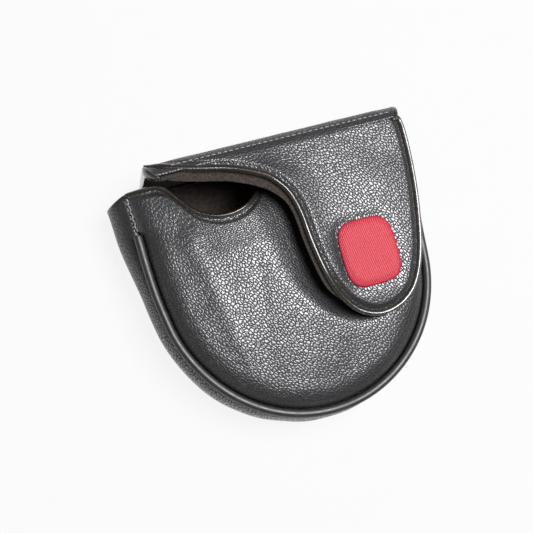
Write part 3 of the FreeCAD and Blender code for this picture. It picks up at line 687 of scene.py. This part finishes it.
# The plush swells out below the tape along the notch side, where the edge has curled up.
lining = flap_face(110, 90, 0.9, True)
slope = np.gradient(EDGE, axis=0)
away = unit(np.stack([slope[:, 1], -slope[:, 0]], axis=-1))[:TIP]
flat = lining[..., :2].reshape(-1, 1, 2)
gap = np.linalg.norm(flat - EDGE[None, :TIP], axis=-1)
near, which = gap.min(axis=1), gap.argmin(axis=1)
edge_x, edge_y = EDGE[which].T
amount = (3.6 + 3.4 * smooth(30, 50, edge_y)) * smooth(-20, -4, edge_y) * smooth(-56, -44, edge_x)
outward = np.concatenate([away[which], np.full((len(near), 1), -0.35)], axis=1)
swell = (np.exp(-near / 2.4) * amount)[:, None] * outward
lining = lining + swell.reshape(lining.shape)
flap_plush = thicken(sheet("flap_plush", lining), PILE, 1.0)
flap_plush.data.materials.append(plush)
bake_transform(flap_plush)
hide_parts("flap_lining")

edge = np.concatenate([EDGE, 0 * EDGE[:, :1]], axis=1)
edge = edge[edge[:, 1] < FOLD - 0.9]
rim = at(edge, spaced(edge, 520))
slope = np.gradient(rim, axis=0)
inward = unit(np.stack([-slope[:, 1], slope[:, 0], 0 * slope[:, 0]], axis=-1))
inner_rim = rim + inward * 0.6
top = flap_top(inner_rim[:, 0], inner_rim[:, 1])
outer = np.stack([inner_rim[:, 0], inner_rim[:, 1], top - 0.9], axis=-1)
inner = np.stack([inner_rim[:, 0], inner_rim[:, 1], top - WALL + 0.9], axis=-1)
flap_tape = tape_over("flap_tape", outer, inner, inward, 3.2, 0.8, taper=16)
flap_tape.data.materials.append(tape)
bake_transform(flap_tape)
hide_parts("flap_binding")

# ---- Patch -----------------------------------------------------------------------------------
# A rounded-square badge, left bare: a red ground of close parallel stitching inside a raised
# satin-stitched border, sewn to the tongue.

BORDER_IN = 0.9      # share of the half size at which the border begins
BORDER_HIGH = 0.95   # how high the border stands


def patch_point(share, angle):
    """Plan x, y on the badge: share 0 in its middle, 1 at its outer edge."""
    c, s = np.cos(angle), np.sin(angle)
    x = PATCH_X + share * PATCH_W * np.sign(c) * np.abs(c) ** (2 / SQUARENESS)
    y = PATCH_Y + share * PATCH_H * np.sign(s) * np.abs(s) ** (2 / SQUARENESS)
    return x, y


def thread(name, dark, light, pitch_mm, turn, source):
    """Twisted rayon embroidery thread: fine ridges with painted shade in the gaps, a painted
    highlight on each.

    The pitch is drawn coarser than the real thread's 0.4 mm, so that it shows."""
    paint, tree = bare(name)
    place = put(tree, "TexCoord")
    bands = 0.314 * per(pitch_mm) if source == "Object" else 1.0
    lay = put(tree, "Mapping", {"Vector": place.outputs[source]})
    lay.inputs["Rotation"].default_value = (0, 0, math.radians(turn))
    ridge = put(tree, "TexWave", {"Vector": lay.outputs["Vector"]},
                {"wave_type": "BANDS", "bands_direction": "X"},
                Scale=bands, Distortion=1.2, Detail=2.0, Detail_Scale=2.0)
    spot = put(tree, "TexNoise", {"Vector": place.outputs["Object"]}, Scale=per(0.6667), Detail=4.0)
    mix = put(tree, "Math", {0: ridge.outputs["Fac"], 1: spot.outputs["Fac"]},
              {"operation": "MULTIPLY"})
    # Painted shade and highlight: dark in the gaps between the ridges, light on their tops.
    colour = ramp(put(tree, "ValToRGB", {"Fac": mix.outputs["Value"]}),
                  [(0.08, linear(dark)), (0.5, linear(light))])
    relief = put(tree, "Bump", {"Height": mix.outputs["Value"]}, Strength=0.8, Distance=0.0003)
    yarn = put(tree, "BsdfPrincipled", {"Base Color": colour.outputs["Color"],
                                        "Normal": relief.outputs["Normal"]},
               Roughness=0.62, Sheen_Weight=0.05)
    put(tree, "OutputMaterial", {"Surface": yarn.outputs["BSDF"]})
    return paint


angle = np.linspace(0, 2 * math.pi, 121)[:-1][None, :]
share = np.linspace(0, 0.93, 22)[:, None]
x, y = patch_point(share, angle)
sink = 0.75 * smooth(0.80, BORDER_IN, share)
face = np.stack([x, y, flap_top(x, y) + BORDER_HIGH - sink], axis=-1)
ground = thicken(sheet("patch_ground", face, wrap=True), 0.8)
ground.data.materials.append(thread("rayon_fill_stitch", "#9a1630", "#ee5a60", 0.8, 38, "Object"))
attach(ground, "flap")
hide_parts("patch_base")

around = np.linspace(0, 1, 15)[:, None]
share = BORDER_IN + (1 - BORDER_IN) * around
x, y = patch_point(share, angle)
bulge = np.sin(around * math.pi) ** 0.6
z = flap_top(x, y) + 0.2 + BORDER_HIGH * bulge
border = sheet("patch_border_stitch", np.stack([x, y, z], axis=-1), wrap=True)
uv = border.data.uv_layers.new(name="along")
for loop in border.data.loops:
    row, column = divmod(loop.vertex_index, angle.shape[1])
    uv.data[loop.index].uv = (column, row / (len(around) - 1))
border.data.materials.append(thread("rayon_satin_stitch", "#a81030", "#d62442", 0.5, 0, "UV"))
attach(border, "flap")
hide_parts("patch_border")

# ---- Stitching -----------------------------------------------------------------------------------
# Bonded nylon thread, a little over 0.5 mm thick: a row of about four stitches to the
# centimetre along the fold, and a zigzag down each side seam above the piping.

STITCH_R = 0.28      # half the thickness of the thread

# Twisted and waxed, with a painted glint: grey where its strands catch the light, dark between
# them.
sewing, tree = bare("bonded_thread")
place = put(tree, "TexCoord")
twist = put(tree, "TexNoise", {"Vector": place.outputs["Object"]}, Scale=per(0.4545), Detail=3.0)
# Painted highlight: the thread is coloured as its own glint, grey on the strands and dark between.
painted_glint = ramp(put(tree, "ValToRGB", {"Fac": twist.outputs["Fac"]}),
             [(0.3, linear("#5a5a5c")), (0.7, linear("#b4b4b6"))])
ply = put(tree, "Bump", {"Height": twist.outputs["Fac"]}, Strength=0.5, Distance=0.0002)
yarn = put(tree, "BsdfPrincipled", {"Base Color": painted_glint.outputs["Color"],
                                    "Normal": ply.outputs["Normal"]}, Roughness=0.45)
put(tree, "OutputMaterial", {"Surface": yarn.outputs["BSDF"]})


def stitches(name, line, up, body, length=2.1, pitch=2.7, thick=STITCH_R):
    """A row of short rounded stitches along a line of points, their ends sunk in the leather."""
    run = np.concatenate([[0], np.cumsum(np.linalg.norm(np.diff(line, axis=0), axis=1))])
    verts, faces, sides = [], [], 8
    for start in np.arange(0.4, run[-1] - length, pitch):
        spots = start + length * np.array([0.0, 0.12, 0.5, 0.88, 1.0])
        lift = np.array([-0.35, 0.05, 0.22, 0.05, -0.35]) * (thick / STITCH_R)
        girth = np.array([0.35, 0.9, 1.0, 0.9, 0.35]) * thick
        p = np.stack([np.interp(spots, run, line[:, k]) for k in range(3)], axis=-1)
        n = np.stack([np.interp(spots, run, up[:, k]) for k in range(3)], axis=-1)
        t = unit(p[-1] - p[0])
        side = unit(np.cross(n, t))
        base = len(verts)
        for i in range(len(spots)):
            for w in np.linspace(0, 2 * math.pi, sides, endpoint=False):
                q = p[i] + n[i] * lift[i] + girth[i] * (side[i] * math.cos(w) + n[i] * math.sin(w))
                verts.append((q / 1000).tolist())
        for i in range(len(spots) - 1):
            for j in range(sides):
                a, b = base + sides * i + j, base + sides * i + (j + 1) % sides
                faces.append((a, b, b + sides, a + sides))
        last = len(verts)
        faces.append(tuple(range(base + sides - 1, base - 1, -1)))
        faces.append(tuple(range(last - sides, last)))
    mesh = bpy.data.meshes.new(name)
    mesh.from_pydata(verts, [], faces)
    mesh.shade_smooth()
    piece = bpy.data.objects.new(name, mesh)
    bpy.context.scene.collection.objects.link(piece)
    piece.data.materials.append(sewing)
    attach(piece, body)
    return piece


x = np.linspace(BAND_LEFT + 12, BAND_RIGHT - 5, 60)
y = np.full(x.shape, FOLD - 3.2)
tilt = math.radians(64)
stitches("fold_stitches", np.stack([x, y, flap_top(x, y) + 0.05], axis=-1),
         np.tile([0.0, math.cos(tilt), math.sin(tilt)], (60, 1)), "band")

for name, side in (("seam_stitches_left", -1), ("seam_stitches_right", 1)):
    run = np.linspace(CORD_END + 1.5, MOUTH - 2.0, 40)
    below = SEAM * math.sin(FLARE)
    u = SIDE_SHARE * (1 - (run + below) / (MOUTH + below))
    x, y = round_the_seam(u if side < 0 else 1 - u, SEAM - 0.4, MOUTH)
    zigzag = 0.7 * (2 * np.abs(np.mod(run / 3.4, 1) - 0.5) - 0.5)
    stitches(name, np.stack([x + zigzag, y, 31.6 + 0 * x], axis=-1),
             np.tile([0.0, 0.0, 1.0], (40, 1)), "pouch", 1.9, 1.7, 0.42)

# ---- Closure magnets -----------------------------------------------------------------------------
# Two pairs of nickel-plated neodymium discs, each in a vacuum-formed film cup between foam and
# plush, under the tongue and in the front panel.  They stay as the CAD made them.

# Bright nickel plating: a warm silver, polished by the barrel and a little scuffed.
nickel, tree = bare("nickel_plated_neodymium")
place = put(tree, "TexCoord")
scuff = put(tree, "TexNoise", {"Vector": place.outputs["Object"]}, Scale=per(1.111), Detail=4.0)
silver = ramp(put(tree, "ValToRGB", {"Fac": scuff.outputs["Fac"]}),
              [(0.3, linear("#b9b4aa")), (0.7, linear("#d5d1c8"))])
polish = ramp(put(tree, "ValToRGB", {"Fac": scuff.outputs["Fac"]}), [(0.3, 0.18), (0.7, 0.32)])
metal = put(tree, "BsdfPrincipled", {"Base Color": silver.outputs["Color"],
                                     "Roughness": polish.outputs["Color"]}, Metallic=1.0)
put(tree, "OutputMaterial", {"Surface": metal.outputs["BSDF"]})

# Vacuum-formed polyester film: milky where the light falls through it, and smooth.
film, tree = bare("formed_pet_film")
place = put(tree, "TexCoord")
haze = put(tree, "TexNoise", {"Vector": place.outputs["Object"]}, Scale=per(3.333), Detail=3.0)
milk = ramp(put(tree, "ValToRGB", {"Fac": haze.outputs["Fac"]}),
            [(0.3, linear("#c9cbcc")), (0.7, linear("#dfe1e2"))])
clear = put(tree, "BsdfPrincipled", {"Base Color": milk.outputs["Color"]},
            Roughness=0.25, IOR=1.57)
put(tree, "OutputMaterial", {"Surface": clear.outputs["BSDF"]})

for node, coat in (("flap_magnet", nickel), ("front_magnet", nickel),
                   ("flap_magnet_cup", film), ("front_magnet_cup", film)):
    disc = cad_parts[node]
    disc.data.materials.clear()
    disc.data.materials.append(coat)

# ---- Studio ------------------------------------------------------------------------------------
# A white table, one large soft box above and a pale room.

table = bpy.data.meshes.new("table_top")
half = 3.0           # metres
corners = [(-half, -half, 0), (half, -half, 0), (half, half, 0), (-half, half, 0)]
table.from_pydata(corners, [], [(0, 1, 2, 3)])
floor = bpy.data.objects.new("table_top", table)
bpy.context.scene.collection.objects.link(floor)

# Uncoated card: matt, with a faint tooth.  To the camera and in reflections it is plain white.
paper, tree = bare("white_paper")
grain = put(tree, "TexNoise", Scale=per(3.333))
sized = ramp(put(tree, "ValToRGB", {"Fac": grain.outputs["Fac"]}), [(0.0, 0.56), (1.0, 0.60)])
matt = put(tree, "BsdfDiffuse", {"Color": sized.outputs["Color"]})
glow = put(tree, "Emission", Strength=1.0)
ray = put(tree, "LightPath")
seen = put(tree, "Math", {0: ray.outputs["Is Camera Ray"], 1: ray.outputs["Is Glossy Ray"]},
           {"operation": "MAXIMUM"})
part = put(tree, "Math", {0: seen.outputs["Value"]}, {"operation": "MULTIPLY"})
part.inputs[1].default_value = 0.88
both = put(tree, "MixShader", {0: part.outputs["Value"], 1: matt.outputs["BSDF"],
                               2: glow.outputs["Emission"]})
put(tree, "OutputMaterial", {"Surface": both.outputs["Shader"]})
table.materials.append(paper)

room = bpy.data.worlds.new("pale_room")
bpy.context.scene.world = room
room.use_nodes = True
tree = room.node_tree
tree.nodes.clear()
ray = put(tree, "LightPath")
level = put(tree, "Math", {0: ray.outputs["Is Camera Ray"]}, {"operation": "MULTIPLY_ADD"})
level.inputs[1].default_value, level.inputs[2].default_value = 0.82, 0.18
sky = put(tree, "Background", {"Strength": level.outputs["Value"]})
put(tree, "OutputWorld", {"Surface": sky.outputs["Background"]})

lamp = bpy.data.lights.new("key_box", "AREA")
lamp.shape, lamp.size, lamp.energy = "SQUARE", 0.45, 13.0
lamp.color = (0.97, 0.97, 1.0)
key_box = bpy.data.objects.new("key_box", lamp)
place, aim = Vector((0.25, 0.07, 0.95)), Vector((0, 0, 0.04))
key_box.location = place
key_box.rotation_euler = (place - aim).to_track_quat("Z", "Y").to_euler()
bpy.context.scene.collection.objects.link(key_box)


def camera_from(azimuth, elevation, roll, distance, target, view_mm):
    """A camera that looks at target, rolled about its view; azimuth 0 looks along +Y."""
    a, e, r = (math.radians(v) for v in (azimuth, elevation, roll))
    back = Vector((math.sin(a) * math.cos(e), -math.cos(a) * math.cos(e), math.sin(e)))
    right = (-back).cross(Vector((0, 0, 1))).normalized()
    up = right.cross(-back)
    right, up = math.cos(r) * right + math.sin(r) * up, -math.sin(r) * right + math.cos(r) * up
    lens = bpy.data.cameras.new("camera")
    lens.sensor_width, lens.lens = 36.0, view_mm
    lens.clip_start = 0.01
    eye = bpy.data.objects.new("camera", lens)
    turn = Matrix((right, up, back)).transposed()
    eye.matrix_world = Matrix.Translation(Vector(target) + back * distance) @ turn.to_4x4()
    bpy.context.scene.collection.objects.link(eye)
    bpy.context.scene.camera = eye


camera_from(-72.6, 78.4, 57.0, 0.4256, (-0.0109, 0.0106, 0.0189), 60.7677)
bpy.context.scene.view_settings.view_transform = "Standard"
